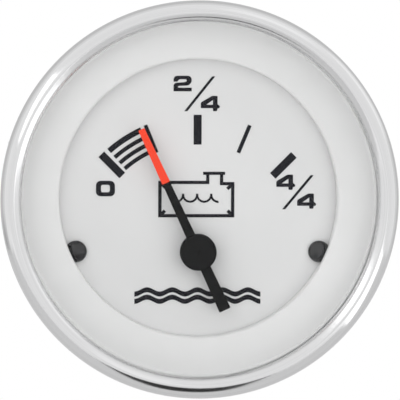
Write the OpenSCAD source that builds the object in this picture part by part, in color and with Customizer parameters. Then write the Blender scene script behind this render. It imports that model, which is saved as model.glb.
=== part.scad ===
// Electric tank level gauge for a 52 mm panel hole.
// The gauge's axis runs along Y: the dial faces -Y, the panel's face is y = 0 and Z is up.

/* [Head in front of the panel] */
// Outer diameter of the rolled bezel
bezel_d = 60; // [59.6:0.1:61]
// Width of the bezel's half-round bead, seen from the front
bead_w = 3.3; // [3:0.1:3.4]
// Thickness of the bezel's sheet
sheet_t = 0.5; // [0.4:0.05:0.6]
// Narrowing of the bezel's skirt from the bead to the rear lip
skirt_draft = 0.6; // [0.4:0.1:0.8]
// Distance from the panel's face to the crest of the bezel
head_h = 9.8; // [9.6:0.1:11]
// Thickness of the glass
glass_t = 2; // [1.6:0.1:2.2]

/* [Dial and trim ring] */
// Clear diameter inside the trim ring
window_d = 42.2; // [41:0.1:43]
// Distance of the dial's face in front of the panel's face
dial_lift = 1.4; // [1.2:0.1:1.6]
// Thickness of the dial
dial_t = 0.8; // [0.5:0.1:0.8]
// Drop of the pointer's pivot below the middle of the dial
pivot_drop = 8.2; // [7.8:0.1:8.6]
// Distance of each dial rivet from the upright centre line
rivet_x = 18.5; // [18.4:0.1:18.8]
// Radius of the rivets' domed heads
rivet_head_r = 1.66; // [1.4:0.02:1.8]

/* [Scale] */
// Angle from upright to the empty mark and to the full mark
scale_angle = 44.5; // [42:0.5:46]
// Inner radius of the marks, from the pivot
mark_in_r = 16.3; // [15:0.1:17]
// Outer radius of the marks, from the pivot
mark_out_r = 20.7; // [19:0.1:21]
// Width of the three bold marks
bold_mark_w = 1.14; // [0.8:0.02:1.4]
// Width of the two fine marks
fine_mark_w = 0.54; // [0.3:0.02:0.8]
// Thickness of the printed ink
ink_t = 0.06; // [0.04:0.01:0.1]

/* [Pointer] */
// Length from the pivot to the tip
pointer_len = 20.5; // [18:0.1:21]
// Length from the pivot to the end of the tail
tail_len = 9.56; // [8:0.1:10]
// Width of the blade at the tip
tip_w = 1.03; // [0.8:0.01:1.4]
// Width of the blade at the end of the tail
tail_w = 1.84; // [1.4:0.01:2.4]
// Distance from the pivot at which the painted part starts
paint_from = 11.6; // [8:0.1:16]
// Radius of the hub
hub_r = 2.77; // [2.4:0.01:3.2]
// Angle of the pointer from upright as modelled, clockwise positive
pointer_angle = -24.6; // [-44:0.1:44]

/* [Case] */
// Diameter of the barrel that passes through the panel
barrel_d = 52; // [51.8:0.1:52.4]
// Length of the barrel behind the panel's face
barrel_len = 30; // [30:0.5:34]
// Thickness of the barrel's wall
wall_t = 2; // [1.6:0.1:2]

/* [Movement] */
// Radius of the rotor magnet
magnet_r = 5; // [4:0.1:5.2]
// Radius of the pointer shaft
shaft_r = 0.6; // [0.5:0.05:0.8]
// Running clearance of the shaft in its two bearings
bearing_gap = 0.03; // [0.02:0.01:0.06]
// Half the width of the square bobbin
bobbin_half = 8.6; // [8.2:0.1:8.6]
// Radial build of each winding
winding_t = 1.3; // [1:0.1:1.3]

/* [Rear fastenings] */
// Thread radius of the studs
stud_r = 2.4; // [2:0.1:2.5]
// Stand-out of the three terminal studs behind the case
terminal_len = 11; // [10:0.5:14]
// Stand-out of the two clamp studs behind the case
clamp_stud_len = 17; // [16:0.5:20]
// Width across the flats of the hex nuts
nut_flats = 9.5; // [8:0.1:9.6]
// Width of the clamp strap
strap_w = 14; // [12:0.5:14]
// Thickness of the clamp strap
strap_t = 1.5; // [1.2:0.1:1.8]
// Thickness of the panel that the strap's feet leave room for
panel_gap = 6; // [5:0.5:7]
// Number of flutes round a thumb nut
flute_count = 24; // [16:1:28]

/* [Lamp] */
// Height of the lamp's axis above the middle of the case
lamp_z = 15; // [14.9:0.1:15.2]
// Radius of the bulb
bulb_r = 4.9; // [4.5:0.1:5]
// Radius of the holder's body in the case
holder_r = 6.4; // [6:0.1:6.4]

/* [Hidden] */
$fn = 96;

// Bezel, glass and gasket
bezel_r = bezel_d / 2;
bead_r = bead_w / 2;
bead_mid_r = bezel_r - bead_r;
glass_front = bead_r - head_h;
glass_back = glass_front + glass_t;
glass_r = bezel_r - sheet_t - 1;
gasket_back = glass_back + 0.75;
flange_front = gasket_back + 1;
lip_front = -1.6;
lip_back = lip_front + sheet_t;
lip_in_r = bezel_r - 2.2;
skirt_foot_r = bezel_r - skirt_draft;
flange_r = skirt_foot_r - sheet_t - 0.1;

// Dial and trim ring
dial_front = -dial_lift;
dial_back = dial_front + dial_t;
dial_r = 24.4;
mouth_r = 24.8;
window_r = window_d / 2;
ring_wall_t = 0.9;
ring_wall_top = flange_front + 0.7;
ring_wall_foot = dial_front - 0.15;
rivet_head_h = 1.2;
pivot_z = -pivot_drop;

// Pointer
blade_front = -3.7;
blade_back = -3.1;
hub_front = -4.5;
hub_back = -2.3;
coat_t = 0.05;

// Light box and movement
tray_front = 3;
tray_back = 4.2;
tray_r = 24.7;
barrel_r = barrel_d / 2;
low_bore_r = barrel_r - wall_t;
body_front = 7;
body_split = 12.5;
body_back = 18;
pad_front = body_front - winding_t;
pad_back = body_back + winding_t;
post_front = tray_back;
post_back = body_back + 2 * winding_t + 0.1;
can_back = post_back + 0.5;
can_in_r = bobbin_half * sqrt(2) + 0.05;
can_out_r = can_in_r + 0.5;
winding_near = 2;
winding_far = 4.8;
shaft_back = 17.4;
screw_x = can_out_r + 1.6;

// Rear wall, board and studs
rear_y = barrel_len;
floor_y = rear_y - 2.5;
board_front = 22.9;
board_back = 24.5;
boss_y = rear_y + 0.8;
power_at = [12.5, -13];
sender_at = [-12.5, -13];
ground_at = [0, -17];
clamp_at = 17;
retaining_t = 2.2;
nut_t = 3.2;
washer_t = 0.9;
strap_in_x = barrel_r + 1.2;
strap_front = rear_y + 6;
strap_back = strap_front + strap_t;
clamp_washer_back = strap_back + 1.1;
thumb_nut_t = 5.5;

// Lamp
holder_front = floor_y - 6.9;
socket_back = floor_y - 4.3;
base_back = socket_back + 5.8;
holder_back = rear_y + 7;
bulb_tip = base_back - 26.8;
contact_half_w = 2.4;
contact_t = 0.5;
base_half_t = 1.4;

// Points along an arc of radius r about c
function arc(c, r, from, to, steps = 6) =
    [for (i = [0:steps]) let (a = from + (to - from) * i / steps) c + r * [cos(a), sin(a)]];

// Outline of a rectangle with rounded corners, its lower left corner at the origin
function rounded_box(w, h, r) = concat(
    arc([w - r, h - r], r, 0, 90),
    arc([r, h - r], r, 90, 180),
    arc([r, r], r, 180, 270),
    arc([w - r, r], r, 270, 360)
);

// Outline of a ring sector about c
function sector(c, r_in, r_out, from, to) =
    concat(arc(c, r_out, from, to, 8), arc(c, r_in, to, from, 8));

// Outline drawn as seen from the front and given thickness between two depths
module slab(y_from, y_to) {
    translate([0, y_to, 0])
        rotate([90, 0, 0])
            linear_extrude(y_to - y_from)
                children();
}

// Profile of radius and depth, turned about an axis that lies along Y
module turned(x = 0, z = 0) {
    translate([x, 0, z])
        rotate([-90, 0, 0])
            rotate_extrude()
                children();
}

// Round bar along Y
module bar(x, z, y_from, y_to, r) {
    translate([x, y_from, z])
        rotate([-90, 0, 0])
            cylinder(h = y_to - y_from, r = r);
}

// Thin spun rim: half-round bead, drawn-in skirt and a lip curled in behind the flange
module bezel() {
    color("gainsboro")
        turned()
            union() {
                translate([bead_mid_r, glass_front])
                    difference() {
                        circle(bead_r);
                        circle(bead_r - sheet_t);
                        translate([-bead_w, 0])
                            square([2 * bead_w, bead_w]);
                    }
                polygon([
                    [bezel_r - sheet_t, glass_front],
                    [bezel_r, glass_front],
                    [skirt_foot_r, lip_back - 0.4],
                    [skirt_foot_r - 0.12, lip_back - 0.12],
                    [skirt_foot_r - 0.4, lip_back],
                    [lip_in_r, lip_back],
                    [lip_in_r, lip_front],
                    [skirt_foot_r - sheet_t, lip_front]
                ]);
            }
}

// Flat glass with a ground edge at the front
module lens() {
    bevel = 0.3;
    color([0.85, 0.92, 0.95, 0.3])
        turned()
            polygon([
                [0, glass_front],
                [glass_r - bevel, glass_front],
                [glass_r, glass_front + bevel],
                [glass_r, glass_back],
                [0, glass_back]
            ]);
}

// Inner radius of the bezel's skirt at a depth
function skirt_in_r(y) =
    bezel_r - sheet_t - skirt_draft * (y - glass_front) / (lip_front - glass_front);

// Rubber ring of L section round the glass and under it
module lens_gasket() {
    color("dimgray")
        turned()
            polygon([
                [glass_r, glass_front],
                [bezel_r - sheet_t, glass_front],
                [skirt_in_r(gasket_back), gasket_back],
                [bezel_r - bead_w + 0.4, gasket_back],
                [bezel_r - bead_w + 0.4, glass_back],
                [glass_r, glass_back]
            ]);
}

// White moulding: flange under the gasket, sloping face, inner wall and a skirt that holds the dial
module trim_ring() {
    face_out_r = bezel_r - bead_w + 0.3;
    edge_r = 0.4;
    color("whitesmoke")
        difference() {
            turned()
                polygon(concat(
                    [[flange_r - 0.1, flange_front], [flange_r - 0.1, gasket_back], [face_out_r, gasket_back]],
                    arc([window_r + edge_r, ring_wall_top], edge_r, -80, -180),
                    [
                        [window_r, ring_wall_foot],
                        [window_r + ring_wall_t, ring_wall_foot],
                        [window_r + ring_wall_t, ring_wall_top + 0.6],
                        [dial_r - 0.9, ring_wall_top + 0.3],
                        [dial_r - 0.9, dial_front],
                        [dial_r, dial_front],
                        [dial_r, flange_front]
                    ]
                ));
            for (side = [-1, 1]) {
                bar(side * rivet_x, pivot_z, dial_front - rivet_head_h - 0.3, 0, rivet_head_r + 0.45);
            }
        }
}

// White disc with holes for the shaft and the two rivets
module dial_plate() {
    color("white")
        slab(dial_front, dial_back)
            difference() {
                circle(dial_r);
                translate([0, pivot_z])
                    circle(1.6);
                for (side = [-1, 1]) {
                    translate([side * rivet_x, pivot_z])
                        circle(1);
                }
            }
}

// Ink on the dial, drawn about the pivot
module printed() {
    color([0.17, 0.17, 0.2])
        translate([0, 0, pivot_z])
            slab(dial_front - ink_t, dial_front)
                children();
}

// Straight mark at an angle from upright
module mark(angle, w) {
    rotate(-angle)
        translate([-w / 2, mark_in_r])
            square([w, mark_out_r - mark_in_r]);
}

// Three bold marks, two fine ones and the four curved bars of the low range
module dial_scale() {
    low_from = 90 + 24.9;
    low_to = 90 + scale_angle - 3.5;
    printed() {
        for (angle = [-scale_angle, 0, scale_angle]) {
            mark(angle, bold_mark_w);
        }
        for (angle = [-scale_angle / 2, scale_angle / 2]) {
            mark(angle, fine_mark_w);
        }
        polygon(sector([0, 0], mark_out_r - 0.81, mark_out_r, low_from, low_to));
        for (step = [1:3]) {
            bar_r = mark_out_r - 0.56 - 1.14 * step;
            polygon(sector([0, 0], bar_r - 0.27, bar_r + 0.27, low_from, low_to));
        }
    }
}

// Wide nought: a rounded frame
module nought() {
    translate([-1.43, -1.17])
        difference() {
            polygon(rounded_box(2.86, 2.34, 0.72));
            translate([0.69, 0.565])
                polygon(rounded_box(1.48, 1.21, 0.3));
        }
}

// Wide two: hooked top, flat foot
module two() {
    translate([-1.37, -1.17])
        polygon(concat(
            [[0, 0], [2.74, 0], [2.74, 0.54], [0.8, 0.54]],
            arc([0.8, 0.68], 0.14, 270, 90, 4),
            [[1.75, 0.86]],
            arc([1.9, 1.7], 0.84, 285, 360, 5),
            arc([2.14, 1.74], 0.6, 0, 90, 5),
            arc([0.55, 1.79], 0.55, 90, 180, 5),
            [[0, 1.46], [0.56, 1.46]],
            arc([0.95, 1.62], 0.2, 160, 90, 3),
            arc([1.8, 1.62], 0.2, 90, -60, 5),
            [[1.5, 1.36], [0.6, 1.3]],
            arc([0.5, 0.8], 0.5, 90, 180, 5)
        ));
}

// Wide four: closed triangle, short foot and a stub to the right
module four() {
    translate([-1.43, -1.15])
        difference() {
            polygon([
                [0.06, 0.45], [1.84, 0.45], [1.84, 0.08], [1.92, 0], [2.4, 0], [2.47, 0.1],
                [2.53, 0.42], [2.78, 0.46], [2.86, 0.56], [2.86, 0.77], [2.76, 0.88], [2.53, 1.04],
                [2.53, 2.22], [2.46, 2.3], [1.75, 2.3], [1.6, 2.24], [0.12, 1.38], [0, 1.2], [0, 0.52]
            ]);
            polygon([[0.81, 0.96], [1.84, 0.96], [1.84, 1.7]]);
        }
}

// Thin stroke between the figures of a fraction, with level ends
module slash(from, to) {
    half = 0.24;
    polygon([from - [half, 0], from + [half, 0], to + [half, 0], to - [half, 0]]);
}

// The figures 0, 2/4 and 4/4
module dial_numerals() {
    printed() {
        translate([-13.8, 9.5])
            nought();
        translate([-2.17, 25.36])
            two();
        slash([-1.55, 21.2], [2.4, 26.4]);
        translate([2, 22.3])
            four();
        translate([13.3, 10.5])
            four();
        slash([13.1, 6.4], [17.3, 11.6]);
        translate([16.5, 7.6])
            four();
    }
}

// Straight stroke of the symbol, from corner to corner
module stroke(x_from, z_from, x_to, z_to) {
    translate([x_from, z_from])
        square([x_to - x_from, z_to - z_from]);
}

// Short slanting stroke in a corner of the symbol
module corner_tick(x, z, angle, length) {
    translate([x, z])
        rotate(angle)
            translate([0, -0.19])
                square([length, 0.38]);
}

// Outline of a tank with a filler neck and a rippled level
module tank_symbol() {
    crest_z = 8.55;
    ripple_r = 1.07;
    line = 0.15;
    ripple_x = [-3.24, -1.1, 1.03, 3.17];
    ripple_from = [268, 172, 172, 172];
    ripple_to = [368, 368, 368, 272];
    printed() {
        stroke(-5.84, 5.23, -5.39, 10.66);
        stroke(-5.84, 5.23, 5.59, 5.68);
        stroke(5.14, 5.23, 5.59, 10.48);
        stroke(-5.84, 10.21, 1.79, 10.66);
        stroke(1.34, 10.21, 1.79, 11.8);
        stroke(0.9, 11.57, 4.19, 12.03);
        stroke(3.43, 10.03, 3.88, 11.8);
        stroke(3.43, 10.03, 5.59, 10.48);
        corner_tick(-5.5, 5.57, 45, 0.95);
        corner_tick(5.25, 5.57, 135, 0.95);
        corner_tick(5.25, 10.14, 225, 1.1);
        corner_tick(-5.5, 10.32, 315, 1.1);
        for (i = [0:3]) {
            polygon(sector(
                [ripple_x[i], crest_z], ripple_r - line, ripple_r + line, ripple_from[i], ripple_to[i]
            ));
        }
    }
}

// Two bold rippled lines, one above the other, in the space below the pivot
module wave_row() {
    half_len = 9.6;
    swing = 0.34;
    line = 0.38;
    steps = 40;
    function ripple(z, grow, i) =
        let (x = -half_len + 2 * half_len * i / steps) [x, z + grow + swing * cos(5 * 180 * x / half_len)];
    printed() {
        for (z = [-6.19, -7.31]) {
            polygon(concat(
                [for (i = [0:steps]) ripple(z, line, i)],
                [for (i = [steps:-1:0]) ripple(z, -line, i)]
            ));
        }
    }
}

// Smooth domed head on a plain shank that grips the light box
module dial_rivet(side) {
    dome = [for (i = [0:6]) [rivet_head_r * cos(15 * i), dial_front - 0.25 - (rivet_head_h - 0.25) * sin(15 * i)]];
    color([0.13, 0.13, 0.14])
        turned(side * rivet_x, pivot_z)
            polygon(concat(
                [[0, 2.6], [0.8, 2.6], [1, 2.2], [1, dial_front], [rivet_head_r, dial_front]],
                dome
            ));
}

// Tapered outline of the blade from one distance to another, widened all round by grow
module blade_outline(from, to, grow = 0) {
    function half_w(s) = (tail_w + (tip_w - tail_w) * (s + tail_len) / (pointer_len + tail_len)) / 2 + grow;
    translate([0, pivot_z])
        rotate(-pointer_angle)
            polygon([[-half_w(from), from], [half_w(from), from], [half_w(to), to + grow], [-half_w(to), to + grow]]);
}

// Black moulding: blade, tail and hub, pressed on the shaft
module pointer() {
    color([0.12, 0.12, 0.13])
        difference() {
            union() {
                slab(blade_front, blade_back)
                    blade_outline(-tail_len, pointer_len);
                turned(0, pivot_z)
                    polygon([
                        [0, hub_back],
                        [hub_r - 0.25, hub_back],
                        [hub_r, hub_back - 0.25],
                        [hub_r, hub_front + 0.45],
                        [hub_r - 0.14, hub_front + 0.14],
                        [hub_r - 0.45, hub_front],
                        [0, hub_front]
                    ]);
            }
            bar(0, pivot_z, hub_front + 0.3, 0, shaft_r);
            bar(0, pivot_z, hub_front - 1, hub_front + 0.5, 0.22);
        }
}

// Coat of paint over the top, the sides and the end of the outer blade
module pointer_paint() {
    color([0.95, 0.27, 0.16])
        difference() {
            slab(blade_front - coat_t, blade_back)
                blade_outline(paint_from, pointer_len, coat_t);
            slab(blade_front, blade_back + 1)
                blade_outline(paint_from - 1, pointer_len);
        }
}

// Polished steel shaft from the hub to the rear bearing
module pointer_shaft() {
    color("silver")
        bar(0, pivot_z, hub_front + 0.3, shaft_back, shaft_r);
}

// Disc magnet pressed on the shaft
module rotor_magnet() {
    color([0.25, 0.25, 0.27])
        difference() {
            turned(0, pivot_z)
                polygon([
                    [0, 10.6], [magnet_r - 0.3, 10.6], [magnet_r, 10.9],
                    [magnet_r, 14.1], [magnet_r - 0.3, 14.4], [0, 14.4]
                ]);
            bar(0, pivot_z, 10, 15, shaft_r);
        }
}

// White tray behind the dial, with posts for the rivets and bosses for the movement's screws
module light_box() {
    color("ivory")
        difference() {
            union() {
                turned()
                    polygon([
                        [0, tray_front], [tray_r - 1, tray_front], [tray_r - 1, dial_back],
                        [tray_r, dial_back], [tray_r, tray_back], [0, tray_back]
                    ]);
                for (side = [-1, 1]) {
                    bar(side * rivet_x, pivot_z, dial_back, tray_front + 0.5, 2.2);
                    bar(side * screw_x, pivot_z, 0.2, tray_front + 0.5, 1.8);
                }
            }
            bar(0, pivot_z, tray_front - 1, tray_back + 1, 2.2);
            bar(0, lamp_z, tray_front - 1, tray_back + 1, 5.6);
            for (side = [-1, 1]) {
                bar(side * rivet_x, pivot_z, dial_back - 1, 2.7, 1);
                bar(side * screw_x, pivot_z, -1, tray_back + 1, 0.8);
            }
        }
}

// One half of the bobbin: square body, pads beside the inner winding and four corner posts
module bobbin_half_body(y_split, y_face, y_pad, y_post) {
    near = winding_far + 0.1;
    post_w = bobbin_half - near - 0.4;
    translate([0, 0, pivot_z]) {
        slab(min(y_split, y_face), max(y_split, y_face))
            square(2 * bobbin_half, center = true);
        for (side = [-1, 1]) {
            slab(min(y_face, y_pad), max(y_face, y_pad))
                translate([0, side * (bobbin_half + near) / 2])
                    square([2 * near, bobbin_half - near], center = true);
        }
        for (x_side = [-1, 1], z_side = [-1, 1]) {
            slab(min(y_face, y_post), max(y_face, y_post))
                translate([x_side * (bobbin_half - post_w / 2), z_side * (bobbin_half - post_w / 2)])
                    square(post_w, center = true);
        }
    }
}

// Front half, with the snout that carries the shaft's front bearing
module bobbin_front() {
    color("tan")
        difference() {
            union() {
                bobbin_half_body(body_split, body_front, pad_front, post_front);
                bar(0, pivot_z, 1, body_front + 1, 1.8);
            }
            bar(0, pivot_z, 10.2, body_split + 1, magnet_r + 0.6);
            bar(0, pivot_z, 0, 11, shaft_r + bearing_gap);
        }
}

// Rear half, with the blind rear bearing and holes for the four pins
module bobbin_rear() {
    color("tan")
        difference() {
            bobbin_half_body(body_split, body_back, pad_back, post_back);
            bar(0, pivot_z, body_split - 1, 14.8, magnet_r + 0.6);
            bar(0, pivot_z, 14, shaft_back + 0.1, shaft_r + bearing_gap);
            pin_bars(16, post_back + 1);
        }
}

// Round bars at the four corner posts
module pin_bars(y_from, y_to) {
    for (x_side = [-1, 1], z_side = [-1, 1]) {
        bar(x_side * 7, pivot_z + z_side * 7, y_from, y_to, 0.4);
    }
}

// Wire pins from the bobbin to the board
module movement_pins() {
    color("gold")
        pin_bars(16, board_back + 0.6);
}

// Side outline of a winding round a core of half width across and depths from front to back
module winding_outline(half, front, back) {
    difference() {
        translate([-half - winding_t, front - winding_t])
            polygon(rounded_box(2 * (half + winding_t), back - front + 2 * winding_t, winding_t));
        translate([-half, front])
            square([2 * half, back - front]);
    }
}

// Inner winding, wound over the front, the back and the two sides, in two halves beside the shaft
module coil_inner() {
    color([0.72, 0.4, 0.2])
        for (z = [winding_near, -winding_far]) {
            translate([0, 0, pivot_z + z])
                linear_extrude(winding_far - winding_near)
                    winding_outline(bobbin_half, body_front, body_back);
        }
}

// Outer winding, crossed over the inner one at a right angle
module coil_outer() {
    color([0.78, 0.45, 0.22])
        for (x = [winding_near, -winding_far]) {
            translate([x, 0, pivot_z])
                rotate([0, 90, 0])
                    linear_extrude(winding_far - winding_near)
                        winding_outline(bobbin_half, pad_front, pad_back);
        }
}

// Steel tube round the windings: a lip holds the bobbin, and two ears take the screws
module shield_can() {
    color("lightsteelblue")
        difference() {
            union() {
                turned(0, pivot_z)
                    polygon([
                        [can_in_r, tray_back], [can_out_r, tray_back], [can_out_r, can_back],
                        [can_in_r - 1.6, can_back], [can_in_r - 1.6, post_back], [can_in_r, post_back]
                    ]);
                translate([0, 0, pivot_z])
                    slab(tray_back, tray_back + 0.5)
                        difference() {
                            square([2 * screw_x + 3, 4], center = true);
                            circle(can_in_r);
                        }
            }
            for (side = [-1, 1]) {
                bar(side * screw_x, pivot_z, tray_back - 1, tray_back + 1, 0.8);
            }
        }
}

// Pan-head screw through an ear into the light box
module movement_screw(side) {
    color("silver")
        difference() {
            turned(side * screw_x, pivot_z)
                polygon([
                    [0, 0.6], [0.8, 0.6], [0.8, tray_back + 0.5], [1.5, tray_back + 0.5],
                    [1.5, tray_back + 1.1], [1.1, tray_back + 1.5], [0, tray_back + 1.5]
                ]);
            translate([side * screw_x, tray_back + 1.4, pivot_z])
                cube([3.2, 0.8, 0.4], center = true);
        }
}

// Board behind the movement, notched round the lamp
module circuit_board() {
    color("darkgoldenrod")
        difference() {
            slab(board_front, board_back)
                difference() {
                    circle(22);
                    translate([0, lamp_z])
                        circle(8);
                    translate([-7.6, lamp_z])
                        square([15.2, 10]);
                    for (at = [power_at, sender_at, ground_at]) {
                        translate(at)
                            circle(stud_r);
                    }
                }
            pin_bars(board_front - 1, board_back + 1);
            for (side = [-1, 1]) {
                bar(side * 6.5, 2, board_front - 1, board_back + 1, 0.3);
            }
        }
}

// Wire-ended resistor that lies on the back of the board
module ballast_resistor() {
    body_y = board_back + 1.35;
    color("burlywood") {
        translate([0, body_y, 2])
            rotate([0, 90, 0])
                cylinder(h = 7, r = 1.2, center = true);
        translate([0, body_y, 2])
            rotate([0, 90, 0])
                cylinder(h = 13.9, r = 0.36, center = true);
        for (side = [-1, 1]) {
            bar(side * 6.5, 2, board_front + 0.2, body_y, 0.3);
        }
    }
}

// Black moulded cup: flange, locating collar, barrel, ledge for the light box and bossed rear wall
module case() {
    edge_r = 1.5;
    color([0.1, 0.1, 0.11])
        difference() {
            union() {
                turned()
                    polygon(concat(
                        [
                            [mouth_r, flange_front], [flange_r, flange_front], [flange_r, lip_front],
                            [barrel_r + 0.7, lip_front], [barrel_r + 0.7, 0], [barrel_r, 0]
                        ],
                        arc([barrel_r - edge_r, rear_y - edge_r], edge_r, 0, 90),
                        [
                            [0, rear_y], [0, floor_y], [low_bore_r, floor_y],
                            [low_bore_r, tray_back], [mouth_r, tray_back]
                        ]
                    ));
                for (at = [power_at, sender_at, ground_at]) {
                    bar(at[0], at[1], board_back, floor_y + 1, 4.2);
                    bar(at[0], at[1], rear_y - 1, boss_y, 5.8);
                }
                for (side = [-1, 1]) {
                    bar(side * clamp_at, 0, rear_y - 1, boss_y, 4.4);
                }
            }
            for (at = [power_at, sender_at, ground_at]) {
                bar(at[0], at[1], board_back - 1, boss_y + 1, stud_r);
            }
            for (side = [-1, 1]) {
                bar(side * clamp_at, 0, floor_y - 1, boss_y + 1, stud_r);
            }
            bar(0, lamp_z, floor_y - 1, rear_y + 1, holder_r + 0.1);
        }
}

// Rubber ring between the bezel's lip and the panel
module panel_gasket() {
    in_r = barrel_r + 0.7;
    color([0.16, 0.16, 0.16])
        turned()
            polygon([
                [in_r, lip_front], [lip_in_r, lip_front], [lip_in_r, lip_back],
                [skirt_foot_r - 0.2, lip_back], [skirt_foot_r - 0.2, 0], [in_r, 0]
            ]);
}

// Brass stud: hex head inside, against the board, and a plain thread length outside
module terminal_stud(at) {
    color("goldenrod") {
        translate([at[0], 0, at[1]])
            slab(board_front - 1.5, board_front)
                circle(4, $fn = 6);
        turned(at[0], at[1])
            polygon([
                [0, board_front - 0.5], [stud_r, board_front - 0.5],
                [stud_r, rear_y + terminal_len - 0.4], [stud_r - 0.4, rear_y + terminal_len],
                [0, rear_y + terminal_len]
            ]);
    }
}

// Hex nut with its outer corners taken off
module hex_nut(at, y_from, thick) {
    corner_r = nut_flats / 2 / cos(30);
    color("goldenrod")
        difference() {
            intersection() {
                translate([at[0], 0, at[1]])
                    slab(y_from, y_from + thick)
                        rotate(30)
                            circle(corner_r, $fn = 6);
                turned(at[0], at[1])
                    polygon([
                        [0, y_from - 0.01], [corner_r + 0.01, y_from - 0.01],
                        [corner_r + 0.01, y_from + thick - 0.5],
                        [corner_r - 0.8, y_from + thick + 0.01], [0, y_from + thick + 0.01]
                    ]);
            }
            bar(at[0], at[1], y_from - 1, y_from + thick + 1, stud_r);
        }
}

// Spring washer: a square-section ring cut through once
module split_washer(at, y_from, y_to, in_r, out_r) {
    color("silver")
        difference() {
            turned(at[0], at[1])
                polygon([[in_r, y_from], [out_r, y_from], [out_r, y_to], [in_r, y_to]]);
            translate([at[0], (y_from + y_to) / 2, at[1] + (in_r + out_r) / 2])
                rotate([0, 0, 20])
                    cube([0.5, 4, out_r - in_r + 0.6], center = true);
        }
}

module retaining_nut(at) {
    hex_nut(at, boss_y, retaining_t);
}

module terminal_washer(at) {
    split_washer(at, boss_y + retaining_t, boss_y + retaining_t + washer_t, stud_r, stud_r + 1.7);
}

module terminal_nut(at) {
    hex_nut(at, boss_y + retaining_t + washer_t, nut_t);
}

// Steel stud pressed through the rear wall, with its flat head inside
module clamp_stud(side) {
    end = rear_y + clamp_stud_len;
    color("silver")
        turned(side * clamp_at, 0)
            polygon([
                [0, floor_y - 1.5], [3.4, floor_y - 1.5], [3.4, floor_y], [stud_r, floor_y],
                [stud_r, end - 0.5], [stud_r - 0.5, end], [0, end]
            ]);
}

// Steel strap bent to a U: the bridge is holed for the studs, and toothed feet press on the panel
module clamp_bracket() {
    out_x = strap_in_x + strap_t;
    bend_r = 1.5;
    color("lightgray")
        difference() {
            translate([0, 0, -strap_w / 2])
                linear_extrude(strap_w)
                    polygon(concat(
                        [[out_x, panel_gap]],
                        arc([out_x - bend_r - strap_t, strap_back - bend_r - strap_t], bend_r + strap_t, 0, 90),
                        arc([bend_r + strap_t - out_x, strap_back - bend_r - strap_t], bend_r + strap_t, 90, 180),
                        [[-out_x, panel_gap], [-strap_in_x, panel_gap]],
                        arc([bend_r - strap_in_x, strap_front - bend_r], bend_r, 180, 90),
                        arc([strap_in_x - bend_r, strap_front - bend_r], bend_r, 90, 0),
                        [[strap_in_x, panel_gap]]
                    ));
            for (side = [-1, 1]) {
                bar(side * clamp_at, 0, strap_front - 1, strap_back + 1, stud_r + 0.3);
                for (z = [-strap_w / 4, strap_w / 4]) {
                    translate([side * (strap_in_x + strap_t / 2), panel_gap, z])
                        rotate([45, 0, 0])
                            cube([3, 1.4, 1.4], center = true);
                }
            }
        }
}

module clamp_washer(side) {
    split_washer([side * clamp_at, 0], strap_back, clamp_washer_back, stud_r + 0.2, stud_r + 1.9);
}

// Fluted thumb nut with a plain neck
module thumb_nut(side) {
    neck_r = 4;
    grip_r = 5.3;
    front = clamp_washer_back;
    back = front + thumb_nut_t;
    color("silver")
        difference() {
            turned(side * clamp_at, 0)
                polygon([
                    [stud_r + 0.05, front], [neck_r, front], [neck_r, front + 1.2], [grip_r, front + 1.2],
                    [grip_r, back - 0.5], [grip_r - 0.5, back], [stud_r + 0.05, back]
                ]);
            for (i = [0:flute_count - 1]) {
                a = 360 * i / flute_count;
                bar(side * clamp_at + grip_r * cos(a), grip_r * sin(a), front + 1, back + 1, 0.3);
            }
        }
}

// Slots for the two contact strips, or the strips themselves
module contact_strip(side, y_from, y_to) {
    z = lamp_z + side * (base_half_t + contact_t / 2);
    translate([-contact_half_w, y_from, z - contact_t / 2])
        cube([2 * contact_half_w, y_to - y_from, contact_t]);
}

// Push-in holder: body, stop flange and ribbed grip, with a socket for the bulb's flat base
module lamp_holder() {
    flange_back = rear_y + 1.2;
    grip_r = 5.6;
    color([0.2, 0.2, 0.22])
        difference() {
            union() {
                turned(0, lamp_z)
                    polygon([
                        [bulb_r + 0.2, holder_front], [holder_r - 0.4, holder_front], [holder_r, holder_front + 0.6],
                        [holder_r, rear_y], [7.4, rear_y], [7.4, flange_back - 0.3], [7.1, flange_back],
                        [grip_r, flange_back], [grip_r, holder_back - 0.6], [grip_r - 0.6, holder_back],
                        [0, holder_back], [0, socket_back], [bulb_r + 0.2, socket_back]
                    ]);
                for (i = [0:9]) {
                    bar(grip_r * cos(36 * i), lamp_z + grip_r * sin(36 * i), flange_back - 0.5, holder_back - 0.8, 0.5);
                }
            }
            translate([-4.4, socket_back - 0.5, lamp_z - base_half_t - contact_t])
                cube([8.8, base_back + 0.2 - socket_back + 0.5, 2 * (base_half_t + contact_t)]);
            for (side = [-1, 1]) {
                contact_strip(side, base_back, holder_back + 1);
            }
        }
}

// Glass bulb with a domed tip and a flat pinched base
module lamp_bulb() {
    color([0.9, 0.92, 0.9, 0.5])
        union() {
            turned(0, lamp_z)
                polygon(concat(
                    [[0, socket_back - 0.7], [bulb_r - 0.6, socket_back - 0.7], [bulb_r, socket_back - 1.6]],
                    arc([0, bulb_tip + bulb_r], bulb_r, 0, -90, 8)
                ));
            translate([-4.2, socket_back - 2, lamp_z - base_half_t])
                cube([8.4, base_back - socket_back + 2, 2 * base_half_t]);
        }
}

// Thin brass strip beside the bulb's base that ends in a flat blade
module lamp_contact(side) {
    color("goldenrod")
        contact_strip(side, socket_back + 0.2, holder_back + 6);
}

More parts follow.
